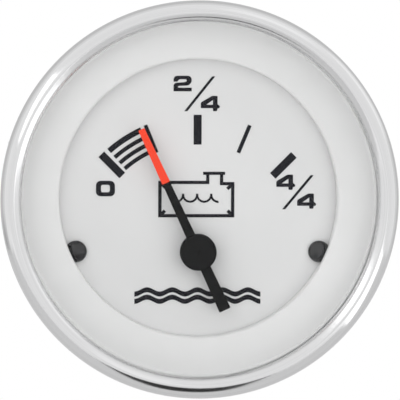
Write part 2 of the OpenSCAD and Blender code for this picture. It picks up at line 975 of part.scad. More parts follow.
bezel();
lens();
lens_gasket();
trim_ring();
dial_plate();
dial_scale();
dial_numerals();
tank_symbol();
wave_row();
dial_rivet(-1);  // dial_rivet_left
dial_rivet(1);  // dial_rivet_right
pointer();
pointer_paint();
pointer_shaft();
rotor_magnet();
light_box();
bobbin_front();
bobbin_rear();
coil_inner();
coil_outer();
shield_can();
movement_screw(-1);  // movement_screw_left
movement_screw(1);  // movement_screw_right
movement_pins();
circuit_board();
ballast_resistor();
case();
panel_gasket();
terminal_stud(power_at);  // power_stud
retaining_nut(power_at);  // power_retaining_nut
terminal_washer(power_at);  // power_washer
terminal_nut(power_at);  // power_nut
terminal_stud(sender_at);  // sender_stud
retaining_nut(sender_at);  // sender_retaining_nut
terminal_washer(sender_at);  // sender_washer
terminal_nut(sender_at);  // sender_nut
terminal_stud(ground_at);  // ground_stud
retaining_nut(ground_at);  // ground_retaining_nut
terminal_washer(ground_at);  // ground_washer
terminal_nut(ground_at);  // ground_nut
clamp_stud(-1);  // clamp_stud_left
clamp_stud(1);  // clamp_stud_right
clamp_bracket();
clamp_washer(-1);  // clamp_washer_left
clamp_washer(1);  // clamp_washer_right
thumb_nut(-1);  // thumb_nut_left
thumb_nut(1);  // thumb_nut_right
lamp_holder();
lamp_bulb();
lamp_contact(-1);  // lamp_contact_left
lamp_contact(1);  // lamp_contact_right
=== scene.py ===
import math

import bmesh
import bpy
from mathutils import Matrix, Quaternion, Vector


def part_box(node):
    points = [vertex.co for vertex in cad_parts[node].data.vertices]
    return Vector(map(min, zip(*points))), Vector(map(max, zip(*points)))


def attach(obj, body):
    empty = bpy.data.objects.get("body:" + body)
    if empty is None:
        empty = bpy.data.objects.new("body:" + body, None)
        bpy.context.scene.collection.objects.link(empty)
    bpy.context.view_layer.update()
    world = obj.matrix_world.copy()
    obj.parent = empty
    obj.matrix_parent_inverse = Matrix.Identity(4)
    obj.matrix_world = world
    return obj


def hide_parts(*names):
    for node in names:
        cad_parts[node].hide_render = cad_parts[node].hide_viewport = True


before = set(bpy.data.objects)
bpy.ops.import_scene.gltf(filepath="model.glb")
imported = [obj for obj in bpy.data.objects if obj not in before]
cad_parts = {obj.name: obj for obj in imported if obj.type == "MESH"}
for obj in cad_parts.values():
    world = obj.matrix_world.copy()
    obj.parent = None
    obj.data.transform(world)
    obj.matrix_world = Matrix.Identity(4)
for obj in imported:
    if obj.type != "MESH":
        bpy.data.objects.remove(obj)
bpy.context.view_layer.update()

# Rotor: a sintered ferrite disc pressed on a ground steel shaft. It turns in the middle of the windings and
# carries the pointer at its front end.

MM = 0.001


class Wire:
    """An output in a node tree that reckons like a number, or like a direction where it carries one."""

    def __init__(self, tree, socket):
        self.tree = tree
        self.socket = socket

    def other(self, output):
        return Wire(self.tree, self.socket.node.outputs[output])

    def reckon(self, operation, first, second):
        directed = any(
            isinstance(value, tuple) or isinstance(value, Wire) and value.socket.type == "VECTOR"
            for value in (first, second)
        )
        if not directed:
            return self.tree.node("ShaderNodeMath", {"operation": operation}, {0: first, 1: second})
        values = [(value,) * 3 if isinstance(value, (int, float)) else value for value in (first, second)]
        return self.tree.node("ShaderNodeVectorMath", {"operation": operation}, dict(enumerate(values)))

    def __add__(self, other):
        return self.reckon("ADD", self, other)

    def __radd__(self, other):
        return self.reckon("ADD", other, self)

    def __sub__(self, other):
        return self.reckon("SUBTRACT", self, other)

    def __rsub__(self, other):
        return self.reckon("SUBTRACT", other, self)

    def __mul__(self, other):
        return self.reckon("MULTIPLY", self, other)

    def __rmul__(self, other):
        return self.reckon("MULTIPLY", other, self)

    def __truediv__(self, other):
        return self.reckon("DIVIDE", self, other)

    def __rtruediv__(self, other):
        return self.reckon("DIVIDE", other, self)

    def __pow__(self, other):
        return self.reckon("POWER", self, other)

    def ease(self, low, high):
        """From 0 at low to 1 at high, with soft ends."""
        inputs = {"Value": self, "From Min": low, "From Max": high}
        return self.tree.node("ShaderNodeMapRange", {"interpolation_type": "SMOOTHSTEP"}, inputs)

    def blend(self, colour, other_colour):
        """The first colour where this is 0, the other where it is 1."""
        inputs = {0: self, 6: colour, 7: other_colour}
        return self.tree.node("ShaderNodeMix", {"data_type": "RGBA"}, inputs, output=2)


class Tree:
    """The node tree of a material or of the world."""

    def __init__(self, owner):
        owner.use_nodes = True
        self.tree = owner.node_tree
        self.tree.nodes.clear()

    def node(self, kind, settings=None, inputs=None, output=0):
        made = self.tree.nodes.new(kind)
        for name, value in (settings or {}).items():
            setattr(made, name, value)
        for name, value in (inputs or {}).items():
            self.feed(made.inputs[name], value)
        return Wire(self, made.outputs[output]) if made.outputs else None

    def feed(self, socket, value):
        if isinstance(value, Wire):
            self.tree.links.new(value.socket, socket)
        elif socket.type == "RGBA" and len(value) == 3:
            socket.default_value = (*value, 1.0)
        else:
            socket.default_value = value


class Finish(Tree):
    """A real finish: its constants stand on the shader's own sockets, and what varies is wired to them."""

    def __init__(self, name, slot, shader="ShaderNodeBsdfPrincipled", **constants):
        self.material = bpy.data.materials.new(name)
        self.slot = slot
        super().__init__(self.material)
        self.place = self.node("ShaderNodeTexCoord", output="Object")
        inputs = {key.replace("_", " "): value for key, value in constants.items()}
        self.shader = self.node(shader, {}, inputs)
        self.node("ShaderNodeOutputMaterial", {}, {"Surface": self.shader})

    def vary(self, socket, value):
        self.feed(self.shader.socket.node.inputs[socket], value)

    def noise(self, per_mm, detail=2.0, where=None):
        """Cloudy value of about 0.3 to 0.7, with so many clouds to a millimetre."""
        inputs = {"Vector": where or self.place, "Scale": per_mm / MM, "Detail": detail}
        return self.node("ShaderNodeTexNoise", {}, inputs)

    def relief(self, height, depth):
        """Bump as deep as this, in metres, where height goes from 0 to 1."""
        self.vary("Normal", self.node("ShaderNodeBump", {}, {"Height": height, "Distance": depth}))


def metal(name, slot, colour, roughness, scratch=0.02, per_mm=0.6):
    """Bare or plated metal: its colour drifts by a few hundredths, and handling dulls it in patches."""
    finish = Finish(name, slot, Metallic=1.0, Roughness=roughness)
    patches = finish.noise(per_mm, 3.0)
    finish.vary("Base Color", patches.ease(0.3, 0.7).blend(tuple(0.94 * part for part in colour), colour))
    finish.vary("Roughness", roughness * (0.8 + 0.4 * patches))
    finish.relief(finish.noise(9.0, 2.0, finish.place * (1.0, 0.12, 1.0)), scratch * MM)
    return finish


def moulded(name, slot, colour, roughness, grain_per_mm=4.0, grain_depth=0.01, drift=0.04, **constants):
    """Moulded or sintered material: fine grain, a little drift in colour, and gloss that wanders."""
    finish = Finish(name, slot, Roughness=roughness, **constants)
    clouds = finish.noise(0.25, 3.0)
    grain = finish.noise(grain_per_mm, 4.0)
    darker = tuple((1 - drift) * part for part in colour)
    finish.vary("Base Color", clouds.ease(0.25, 0.75).blend(darker, colour))
    finish.vary("Roughness", roughness * (0.85 + 0.3 * clouds))
    finish.relief(grain, grain_depth * MM)
    return finish


def wear(finish, piece, body=None):
    """The piece takes the finish, and rides a body if it isn't one of the solids, which ride already."""
    piece.data.materials.clear()
    piece.data.materials.append(finish.material)
    if body:
        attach(piece, body)


def keep(node, finish):
    """A solid that is right as it stands takes its finish."""
    wear(finish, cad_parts[node])


ferrite = moulded("sintered ferrite", "ferrite", (0.07, 0.07, 0.075), 0.55, 6.0, 0.02, 0.15)
ground_steel = metal("ground steel", "shaft_steel", (0.62, 0.62, 0.63), 0.22, 0.004)

keep("rotor_magnet", ferrite)
keep("pointer_shaft", ground_steel)

# Bobbin: two halves moulded in natural nylon close round the magnet. The front half carries the snout with
# the front bearing, and the rear half holds four wire pins.

nylon = moulded(
    "natural nylon", "bobbin_nylon", (0.7, 0.63, 0.46), 0.42, 3.0, 0.008, Subsurface_Weight=0.1,
    Subsurface_Scale=0.5 * MM,
)
tinned = metal("tinned wire", "tinned_wire", (0.72, 0.72, 0.7), 0.3, 0.01)

for half in ("bobbin_front", "bobbin_rear"):
    keep(half, nylon)
keep("movement_pins", tinned)

# Windings: enamelled copper wire laid side by side, the inner one over the front, back and sides of the
# bobbin, the outer one crossed over it. Each is split in two halves that pass either side of the shaft.

winding_build = 1.3 * MM
laid_wire = 0.2 * MM
shaft_room = 2 * MM
bobbin_gap = 0.02 * MM
pivot_z = (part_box("rotor_magnet")[0].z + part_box("rotor_magnet")[1].z) / 2

copper = Finish("enamelled copper", "enamelled_copper", Metallic=1.0, Coat_Weight=0.6, Coat_Roughness=0.12)
strands = copper.noise(2.5, 2.0)
copper.vary("Base Color", strands.ease(0.3, 0.7).blend((0.55, 0.2, 0.08), (0.72, 0.31, 0.14)))
copper.vary("Roughness", 0.2 + 0.2 * strands)


def blank(name, mesh):
    """A bmesh as a bare piece, to be worked further."""
    bmesh.ops.recalc_face_normals(mesh, faces=mesh.faces)
    data = bpy.data.meshes.new(name)
    mesh.to_mesh(data)
    mesh.free()
    piece = bpy.data.objects.new(name, data)
    bpy.context.scene.collection.objects.link(piece)
    return piece


def finished(name, mesh, finish, body=None, *nodes, crease=32, soft_edge=0):
    """A piece that wears a finish, rides a body and stands for its solids."""
    piece = blank(name, mesh)
    piece.data.shade_smooth()
    piece.data.set_sharp_from_angle(angle=math.radians(crease))
    wear(finish, piece, body)
    if soft_edge:
        rounding = piece.modifiers.new("soft edges", "BEVEL")
        rounding.width, rounding.segments, rounding.angle_limit = soft_edge, 2, math.radians(35)
    piece.modifiers.new("even shading", "WEIGHTED_NORMAL").keep_sharp = True
    if nodes:
        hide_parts(*nodes)
    return piece


def skin(mesh, rings, looped=False, capped=False):
    """Faces between rings of points that match, back to the first ring or with both end rings closed."""
    for ring, following in zip(rings, rings[1:] + rings[:1] if looped else rings[1:]):
        for i in range(len(ring)):
            j = (i + 1) % len(ring)
            mesh.faces.new((ring[i], ring[j], following[j], following[i]))
    if capped:
        mesh.faces.new(rings[0])
        mesh.faces.new(rings[-1])


def corner_stations(half, front, back):
    """Points round the bobbin's section, each with the way out from it: an arc of ways at each corner."""
    corners = [(half, back, 0), (-half, back, 90), (-half, front, 180), (half, front, 270)]
    return [
        ((across, depth), (math.cos(turn), math.sin(turn)))
        for across, depth, start in corners
        for turn in (math.radians(start + 15 * step) for step in range(7))
    ]


def wound_half(mesh, stations, near, far, lay):
    """Half a winding between two distances from the shaft. lay puts across, along and depth in place."""
    turns = round(abs(far - near) / laid_wire)
    steps = 6 * turns
    section = []
    for step in range(steps + 1):
        share = step / steps
        crown = abs(math.sin(math.pi * turns * share))
        section.append((near + (far - near) * share, winding_build - laid_wire * 0.35 * (1 - crown)))
    section += [(far, bobbin_gap), (near, bobbin_gap)]
    rings = []
    for (across, depth), (out_across, out_depth) in stations:
        rings.append([
            mesh.verts.new(lay(across + out_across * rise, along, depth + out_depth * rise))
            for along, rise in section
        ])
    skin(mesh, rings, looped=True)


def winding(node, reach, lay):
    """Both halves of one winding, out to this distance from the shaft."""
    low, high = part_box(node)
    stations = corner_stations(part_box("bobbin_front")[1].x, low.y + winding_build, high.y - winding_build)
    mesh = bmesh.new()
    for side in (-1, 1):
        wound_half(mesh, stations, side * shaft_room, side * reach, lay)
    finished(node.replace("coil", "winding"), mesh, copper, "gauge", node, crease=60)


winding("coil_inner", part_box("coil_inner")[1].z - pivot_z,
        lambda across, along, depth: (across, depth, pivot_z + along))
winding("coil_outer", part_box("coil_outer")[1].x,
        lambda across, along, depth: (along, depth, pivot_z + across))

# Shield can: a drawn steel tube, zinc plated, that keeps stray fields off the windings. Two screws through
# its ears hold it to the light box.

zinc = metal("zinc plate", "zinc_steel", (0.66, 0.67, 0.68), 0.32, 0.012, 0.35)

for node in ("shield_can", "movement_screw_left", "movement_screw_right"):
    keep(node, zinc)

# Light box: a tray moulded in white plastic, which spreads the lamp's light behind the dial. It carries the
# movement at its back and holds the dial's rivets in posts.

white_plastic = moulded("white moulding", "white_moulding", (0.835, 0.833, 0.833), 0.42, 5.0, 0.006, 0.02)

keep("light_box", white_plastic)

# Circuit board: paper laminate with a dipped resistor on its rear face. It lies at the rear of the case,
# clamped by the heads of the terminal studs.

laminate = moulded("paper laminate", "board_laminate", (0.36, 0.23, 0.09), 0.5, 1.5, 0.01, 0.2)
dipped = moulded("dipped resistor", "resistor_body", (0.62, 0.5, 0.34), 0.35, 2.0, 0.01)

keep("circuit_board", laminate)
keep("ballast_resistor", dipped)

# Moulded case: one black piece with a spark-textured skin. Its flange fills the bezel, a collar centres the
# panel gasket, the barrel goes through the panel, and low bosses stand round the studs on the rear wall.

same_place = 0.0001 * MM


def eased(corners, steps=4):
    """A closed outline from corners of (across, up, rounding), each rounded off by its own amount."""
    outline = []
    for i, (across, up, rounding) in enumerate(corners):
        corner = Vector((across, up))
        if not rounding:
            outline.append(tuple(corner))
            continue
        before = Vector(corners[i - 1][:2]) - corner
        after = Vector(corners[(i + 1) % len(corners)][:2]) - corner
        opening = before.angle(after) / 2
        reach = min(rounding / math.tan(opening), 0.49 * before.length, 0.49 * after.length)
        start, end = corner + before.normalized() * reach, corner + after.normalized() * reach
        for step in range(steps + 1):
            share = step / steps
            point = (1 - share) ** 2 * start + 2 * share * (1 - share) * corner + share ** 2 * end
            outline.append(tuple(point))
    return outline


def spin(mesh, outline, middle=(0, 0), columns=128, shape=None, span=(0, 360)):
    """Turns a closed outline of (radius, depth) about an axis along Y. shape may move each point."""
    whole = span[1] - span[0] == 360
    rings = []
    for i in range(columns if whole else columns + 1):
        turn = math.radians(span[0] + (span[1] - span[0]) * i / columns)
        ring = []
        for radius, depth in outline:
            if shape:
                radius, depth = shape(turn, radius, depth)
            ring.append(mesh.verts.new((
                middle[0] + radius * math.cos(turn), depth, middle[1] + radius * math.sin(turn)
            )))
        rings.append(ring)
    skin(mesh, rings, looped=whole, capped=not whole)
    bmesh.ops.remove_doubles(mesh, verts=mesh.verts, dist=same_place)


def drill(mesh, middle, radius, start, end):
    """Plain round bar along Y, to cut or fill a hole with."""
    spin(mesh, [(0, start), (radius, start), (radius, end), (0, end)], middle, 64)


def turned(name, outline, finish, body, *nodes, **how):
    """A piece that is turned and nothing more."""
    mesh = bmesh.new()
    spin(mesh, outline, **how)
    finished(name, mesh, finish, body, *nodes)


def worked(stock, *steps):
    """Joins or cuts one bmesh with others, in steps such as ("DIFFERENCE", cutter)."""
    piece = blank("stock", stock)
    tools = []
    for operation, tool in steps:
        tools.append(blank("tool", tool))
        step = piece.modifiers.new(operation, "BOOLEAN")
        step.operation, step.object, step.solver = operation, tools[-1], "EXACT"
    bpy.context.view_layer.update()
    shape = bmesh.new()
    shape.from_object(piece, bpy.context.evaluated_depsgraph_get())
    for used in [piece] + tools:
        bpy.data.objects.remove(used)
    return shape


def axis_of(node):
    """Where the axis of a round solid stands, as (across, up)."""
    low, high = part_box(node)
    return (low.x + high.x) / 2, (low.z + high.z) / 2


case_low, case_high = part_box("case")
light_box_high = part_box("light_box")[1]
flange_r = case_high.x
barrel_r = 26 * MM
collar_r = barrel_r + 0.7 * MM
wall = 2 * MM
mouth_r = 24.8 * MM
rear_y = case_high.y - 0.8 * MM
floor_y = rear_y - 2.5 * MM
lip_front = -1.6 * MM
terminals = {name: axis_of(f"{name}_stud") for name in ("power", "sender", "ground")}
clamp_ends = {name: axis_of(f"clamp_stud_{name}") for name in ("left", "right")}
stud_r = 2.4 * MM
lamp_middle = axis_of("lamp_bulb")
lamp_hole_r = 6.5 * MM
boss_top, boss_root = case_high.y, rear_y - 1 * MM
boss_foot = 0.5 * MM
terminal_boss_r, clamp_boss_r = 5.8 * MM, 4.4 * MM
pebbles_per_mm = 5

spark = Finish("spark-textured black", "case_black", Specular_IOR_Level=0.45)
pebbles = spark.node(
    "ShaderNodeTexVoronoi", {"feature": "SMOOTH_F1"}, {"Vector": spark.place, "Scale": pebbles_per_mm / MM}
)
handled = spark.noise(0.12, 3.0)
spark.vary("Base Color", handled.ease(0.3, 0.7).blend((0.014, 0.014, 0.015), (0.022, 0.022, 0.024)))
spark.vary("Roughness", 0.42 + 0.2 * handled)
spark.relief(pebbles, 0.03 * MM)

cup = bmesh.new()
spin(cup, eased([
    (mouth_r, case_low.y, 0.15 * MM), (flange_r, case_low.y, 0.2 * MM), (flange_r, lip_front, 0.2 * MM),
    (collar_r, lip_front, 0.05 * MM), (collar_r, 0, 0.2 * MM), (barrel_r, 0, 0.1 * MM),
    (barrel_r, rear_y, 1.5 * MM), (0, rear_y, 0), (0, floor_y, 0), (barrel_r - wall, floor_y, 1 * MM),
    (barrel_r - wall, light_box_high.y, 0.1 * MM), (mouth_r, light_box_high.y, 0.2 * MM),
], 6), columns=256)
bosses = bmesh.new()
stud_places = list(terminals.values()) + list(clamp_ends.values())
for middle, boss_r in zip(stud_places, [terminal_boss_r] * 3 + [clamp_boss_r] * 2):
    foot_r = boss_r + boss_foot
    spin(bosses, eased([
        (0, boss_root, 0), (foot_r, boss_root, 0), (foot_r, rear_y - 0.05 * MM, 0),
        (boss_r, rear_y, 0.4 * MM), (boss_r, boss_top, 0.2 * MM), (0, boss_top, 0),
    ]), middle, 64)
holes = bmesh.new()
for middle, hole_r in zip(stud_places + [lamp_middle], [stud_r] * 5 + [lamp_hole_r]):
    drill(holes, middle, hole_r, floor_y - 1 * MM, boss_top + 1 * MM)
finished("case_moulding", worked(cup, ("UNION", bosses), ("DIFFERENCE", holes)), spark, "gauge", "case")

# Terminals: turned brass studs with hex heads against the board. Outside the case each has a retaining nut, a
# spring washer and the nut that clamps the lead.

brass = metal("turned brass", "brass", (0.72, 0.52, 0.22), 0.28, 0.008, 0.5)
pitch = 0.8 * MM
thread_depth = 0.42 * MM
nut_flats = 9.5 * MM
head_t = 1.5 * MM
thread_start = rear_y - 0.6 * MM


def threaded(mesh, middle, start, end, columns=40):
    """Screw thread between two depths, both ends chamfered and closed."""
    crest, flank = 0.12, 0.32
    chamfer = 0.5 * MM

    def radius_at(around, depth):
        phase = abs((depth / pitch - around + 0.5) % 1 - 0.5) * 2
        sunk = min(max((phase - crest) / (2 * flank), 0), 1) * thread_depth
        cut = max(0.0, chamfer - min(depth - start, end - depth))
        return min(stud_r - sunk, stud_r - cut)

    rows = []
    steps = 8
    for row in range(-steps, math.ceil((end - start) / pitch * steps) + 1):
        ring = []
        for i in range(columns + 1):
            around = i / columns
            depth = min(max(start + pitch * (row / steps + around), start), end)
            radius = radius_at(around, depth)
            turn = 2 * math.pi * around
            ring.append(mesh.verts.new((
                middle[0] + radius * math.cos(turn), depth, middle[1] + radius * math.sin(turn)
            )))
        rows.append(ring)
    for ring, following in zip(rows, rows[1:]):
        for i in range(columns):
            mesh.faces.new((ring[i], ring[i + 1], following[i + 1], following[i]))
    bmesh.ops.remove_doubles(mesh, verts=mesh.verts, dist=same_place)
    bmesh.ops.holes_fill(mesh, edges=[edge for edge in mesh.edges if edge.is_boundary])


def hex_nut(node, middle):
    """Six flats, with the corners of both faces taken off by a 30 degree cone."""
    low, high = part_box(node)
    bore_r = stud_r - 0.3 * thread_depth
    bore_edge = 0.3 * MM
    face_r = 0.94 * nut_flats / 2

    def six_sided(turn, radius, depth):
        if radius < nut_flats / 2:
            return radius, depth
        side_r = nut_flats / 2 / math.cos((turn + math.pi / 2) % (math.pi / 3) - math.pi / 6)
        drop = (side_r - face_r) * math.tan(math.radians(30))
        return side_r, min(max(depth, low.y + drop), high.y - drop)

    mesh = bmesh.new()
    spin(mesh, [
        (bore_r, low.y + bore_edge), (bore_r + bore_edge, low.y), (face_r, low.y), (nut_flats / 2, low.y),
        (nut_flats / 2, high.y), (face_r, high.y), (bore_r + bore_edge, high.y), (bore_r, high.y - bore_edge),
    ], middle, 72, six_sided)
    finished(node.replace("nut", "hex_nut"), mesh, brass, "gauge", node, crease=20)


def spring_washer(node, middle, in_r, out_r, body):
    """Square wire wound to a ring, cut through once, with one end standing a little proud of the other."""
    low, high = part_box(node)
    lift = 0.15 * (high.y - low.y)
    start, end = 95, 447

    def wound(turn, radius, depth):
        return radius, depth + lift * ((turn - math.radians(start)) / math.radians(end - start) - 1)

    outline = eased([
        (in_r, low.y + lift, 0.1 * MM), (out_r, low.y + lift, 0.12 * MM),
        (out_r, high.y, 0.12 * MM), (in_r, high.y, 0.1 * MM),
    ], 2)
    turned(node.replace("washer", "spring_washer"), outline, zinc, body, node,
           middle=middle, columns=72, shape=wound, span=(start, end))


for name, middle in terminals.items():
    node = f"{name}_stud"
    low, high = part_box(node)
    head_r, head_back = (high.x - low.x) / 2, low.y + head_t
    mesh = bmesh.new()
    spin(mesh, [(0, low.y), (head_r, low.y), (head_r, head_back), (0, head_back)], middle, 6)
    drill(mesh, middle, stud_r, head_back - 0.2 * MM, rear_y)
    threaded(mesh, middle, thread_start, high.y)
    finished(f"{name}_threaded_stud", mesh, brass, "gauge", node)
    hex_nut(f"{name}_retaining_nut", middle)
    hex_nut(f"{name}_nut", middle)
    spring_washer(f"{name}_washer", middle, stud_r + 0.05 * MM, stud_r + 1.7 * MM, "gauge")

# Clamp studs: threaded rods of zinc-plated steel, each with a round head. They are pressed through the rear
# wall from inside, and the clamp strap slides on them.

clamp_head_r = 3.4 * MM

for name, middle in clamp_ends.items():
    node = f"clamp_stud_{name}"
    low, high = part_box(node)
    mesh = bmesh.new()
    spin(mesh, eased([
        (0, low.y, 0), (clamp_head_r, low.y, 0.3 * MM), (clamp_head_r, floor_y, 0), (stud_r, floor_y, 0),
        (stud_r, rear_y, 0), (0, rear_y, 0),
    ]), middle, 48)
    threaded(mesh, middle, thread_start, high.y)
    finished(f"clamp_threaded_stud_{name}", mesh, zinc, "gauge", node)

# Dial: a matt white disc. Its marks, figures and symbols are screen-printed in a blue-black ink. The sizes of
# the print are in millimetres, and its places are counted from the pivot.

dial_white = moulded("dial white", "dial_white", (0.78, 0.778, 0.78), 0.55, 8.0, 0.004, 0.012)
ink = moulded("screen ink", "dial_ink", (0.008, 0.008, 0.013), 0.5, 10.0, 0.006, 0.3, Specular_IOR_Level=0.12)

dial_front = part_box("dial_plate")[0].y
ink_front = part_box("dial_scale")[0].y
ink_step = 0.001 * MM
print_spread = 1.005
print_shift_x, print_shift_z = -0.06 * MM, 0.07 * MM


def arc(middle, radius, start, end, steps=8):
    """Points along an arc, counted from the right."""
    turns = [math.radians(start + (end - start) * step / steps) for step in range(steps + 1)]
    return [(middle[0] + radius * math.cos(turn), middle[1] + radius * math.sin(turn)) for turn in turns]


def sector(middle, in_r, out_r, start, end):
    """Part of a flat ring between two angles, counted from the right."""
    return arc(middle, out_r, start, end) + arc(middle, in_r, end, start)


def soft_box(x, z, width, height, radius):
    """Box with round corners, its lower left corner at x and z."""
    left, right = x + radius, x + width - radius
    low, high = z + radius, z + height - radius
    outline = []
    for middle, start in (((right, high), 0), ((left, high), 90), ((left, low), 180), ((right, low), 270)):
        outline += arc(middle, radius, start, start + 90, 6)
    return outline


def bar(x, z, angle, length, width):
    """Straight stroke from a point, at an angle counted from the right."""
    over, up = math.cos(math.radians(angle)), math.sin(math.radians(angle))
    return [
        (x + along * over - aside * up, z + along * up + aside * over)
        for along, aside in ((0, -width / 2), (length, -width / 2), (length, width / 2), (0, width / 2))
    ]


def moved(outline, x, z):
    """The same outline, so far across and up."""
    return [(across + x, up + z) for across, up in outline]


def on_dial(x, z):
    """Where a point of the print lies on the disc."""
    across, up = x * MM, z * MM + pivot_z
    return across * print_spread + print_shift_x, dial_front, up * print_spread + print_shift_z


def printed(node, *shapes):
    """Ink laid inside each shape, a list of outlines of which all but the first leave holes."""
    mesh = bmesh.new()
    for number, shape in enumerate(shapes):
        edges = []
        for outline in shape:
            corners = [mesh.verts.new(on_dial(x, z)) for x, z in outline]
            edges += [mesh.edges.new((corner, corners[i - 1])) for i, corner in enumerate(corners)]
        filled = bmesh.ops.triangle_fill(mesh, use_beauty=True, edges=edges)["geom"]
        faces = [part for part in filled if isinstance(part, bmesh.types.BMFace)]
        extruded = bmesh.ops.extrude_face_region(mesh, geom=faces, use_keep_orig=True)["geom"]
        raised = [part for part in extruded if isinstance(part, bmesh.types.BMVert)]
        bmesh.ops.translate(mesh, verts=raised, vec=(0, ink_front + ink_step * number - dial_front, 0))
    finished(f"printed_{node}", mesh, ink, "gauge", node)


mark_in_r, mark_out_r = 16.15, 20.65
bold, fine = 1.2, 0.58
marks = []
for angle, width in ((-44.8, bold), (0, bold), (45, bold), (-22.5, fine), (22.5, fine)):
    turn = math.radians(angle)
    foot_x, foot_z = mark_in_r * math.sin(turn), mark_in_r * math.cos(turn)
    marks.append([bar(foot_x, foot_z, 90 - angle, mark_out_r - mark_in_r, width)])

low_range = (90 + 24.9, 90 + 41.4)
outer_bar, inner_bar = 0.86, 0.62
first_bar_r, bar_step = mark_out_r - 0.58, 1.14
marks.append([sector((0, 0), mark_out_r - outer_bar, mark_out_r, *low_range)])
for step in (1, 2, 3):
    bar_r = first_bar_r - bar_step * step
    marks.append([sector((0, 0), bar_r - inner_bar / 2, bar_r + inner_bar / 2, *low_range)])

nought = [soft_box(-1.43, -1.17, 2.86, 2.34, 0.72), soft_box(-0.67, -0.57, 1.34, 1.14, 0.3)]
two = (
    [(0, 0), (2.74, 0), (2.74, 0.54), (0.8, 0.54)] + arc((0.8, 0.68), 0.14, 270, 90, 4) + [(1.75, 0.86)]
    + arc((1.9, 1.7), 0.84, 285, 360, 5) + arc((2.14, 1.74), 0.6, 0, 90, 5)
    + arc((0.55, 1.79), 0.55, 90, 180, 5) + [(0, 1.46), (0.56, 1.46)] + arc((0.95, 1.62), 0.2, 160, 90, 3)
    + arc((1.8, 1.62), 0.2, 90, -60, 5) + [(1.5, 1.36), (0.6, 1.3)] + arc((0.5, 0.8), 0.5, 90, 180, 5)
)
four = [
    (0.06, 0.45), (1.84, 0.45), (1.84, 0.08), (1.92, 0), (2.4, 0), (2.47, 0.1), (2.53, 0.42),
    (2.78, 0.46), (2.86, 0.56), (2.86, 0.77), (2.76, 0.88), (2.53, 1.04), (2.53, 2.22), (2.46, 2.3),
    (1.75, 2.3), (1.6, 2.24), (0.12, 1.38), (0, 1.2), (0, 0.52),
]
four_eye = [(0.81, 0.96), (1.84, 0.96), (1.84, 1.7)]
half_four_x, half_four_z = 1.43, 1.15
half_slash = 0.24

figures = [[moved(outline, -13.92, 9.48) for outline in nought], [moved(two, -3.66, 24.2)]]
for x, z in ((1.9, 22.36), (13.39, 10.46), (16.56, 7.6)):
    figures.append([moved(outline, x - half_four_x, z - half_four_z) for outline in (four, four_eye)])
for (x, z), (end_x, end_z) in (((-1.79, 21.2), (2.4, 26.46)), ((13.1, 6.36), (17.38, 11.53))):
    foot = [(x - half_slash, z), (x + half_slash, z)]
    top = [(end_x + half_slash, end_z), (end_x - half_slash, end_z)]
    figures.append([foot + top])

tank_outline = [
    (-5.93, 5.13), (5.6, 5.13), (5.6, 10.48), (3.9, 10.48), (3.9, 11.57), (4.19, 11.57), (4.19, 12.03),
    (0.86, 12.03), (0.86, 11.57), (1.32, 11.57), (1.32, 10.66), (-5.93, 10.66),
]
tank_inside = [
    (-5.42, 5.62), (5.1, 5.62), (5.1, 10), (3.41, 10), (3.41, 11.57), (1.8, 11.57), (1.8, 10.18),
    (-5.42, 10.18),
]
tick_width = 0.5
ticks = ((-5.55, 5.5, 45, 0.9), (5.23, 5.5, 135, 0.9), (5.25, 10.14, 225, 1), (-5.55, 10.32, 315, 1))
ripple_z, ripple_in_r, ripple_out_r = 8.55, 0.91, 1.23
ripples = ((-3.24, 268, 368), (-1.1, 172, 368), (1.03, 172, 368), (3.17, 172, 272))
tank = [[tank_outline, tank_inside]]
for x, z, angle, length in ticks:
    tank.append([bar(x, z, angle, length, tick_width)])
for x, start, end in ripples:
    tank.append([sector((x, ripple_z), ripple_in_r, ripple_out_r, start, end)])

keep("dial_plate", dial_white)
printed("dial_scale", *marks)
printed("dial_numerals", *figures)
printed("tank_symbol", *tank)
keep("wave_row", ink)

# Dial rivets: black mouldings with a domed head on a plain shank. They go through the dial into posts of the
# light box, and the edge of the trim ring partly covers their heads.

gloss = moulded("black gloss", "black_gloss", (0.013, 0.013, 0.015), 0.16, 3.0, 0.004, 0.3)
rivet_head_r = 1.66 * MM
rivet_shank_r = 1 * MM

for name in ("left", "right"):
    node = f"dial_rivet_{name}"
    low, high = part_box(node)
    rim = dial_front - 0.2 * MM
    dome = [
        (rivet_head_r * math.cos(turn), rim + (low.y - rim) * math.sin(turn))
        for turn in (math.radians(90 * step / 14) for step in range(15))
    ]
    outline = eased([
        (0, high.y, 0), (rivet_shank_r, high.y, 0.4 * MM), (rivet_shank_r, dial_front, 0),
        (rivet_head_r - 0.1 * MM, dial_front, 0),
    ]) + dome
    turned(f"domed_{node}", outline, gloss, "gauge", node, middle=axis_of(node), columns=64)

# Pointer: blade, tail and hub are one black moulding pressed on the shaft. A coat of red-orange paint covers
# the outer part of the blade.

pointer_black = moulded(
    "pointer black", "pointer_black", (0.0045, 0.0045, 0.005), 0.5, 8.0, 0.006, 0.2, Specular_IOR_Level=0.08,
)
paint = moulded(
    "pointer paint", "pointer_red", (1.0, 0.06, 0.02), 0.5, 6.0, 0.006, 0.05, Specular_IOR_Level=0.2,
)
pointer_length = 20.5 * MM
tail_length = 9.7 * MM
tip_width = 0.9 * MM
tail_width = 1.84 * MM
paint_start = 11.6 * MM
coat = 0.05 * MM
long_edge = 0.1 * MM
hub_r = 2.77 * MM
hub_hole_r, hub_hole_floor_r = 0.28 * MM, 0.24 * MM
hub_hole_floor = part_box("pointer_shaft")[0].y - 0.02 * MM
pointer_lean = math.radians(25)
blade_front, blade_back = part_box("pointer_paint")[0].y + coat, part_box("pointer_paint")[1].y
hub_front, hub_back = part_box("pointer")[0].y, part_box("pointer")[1].y


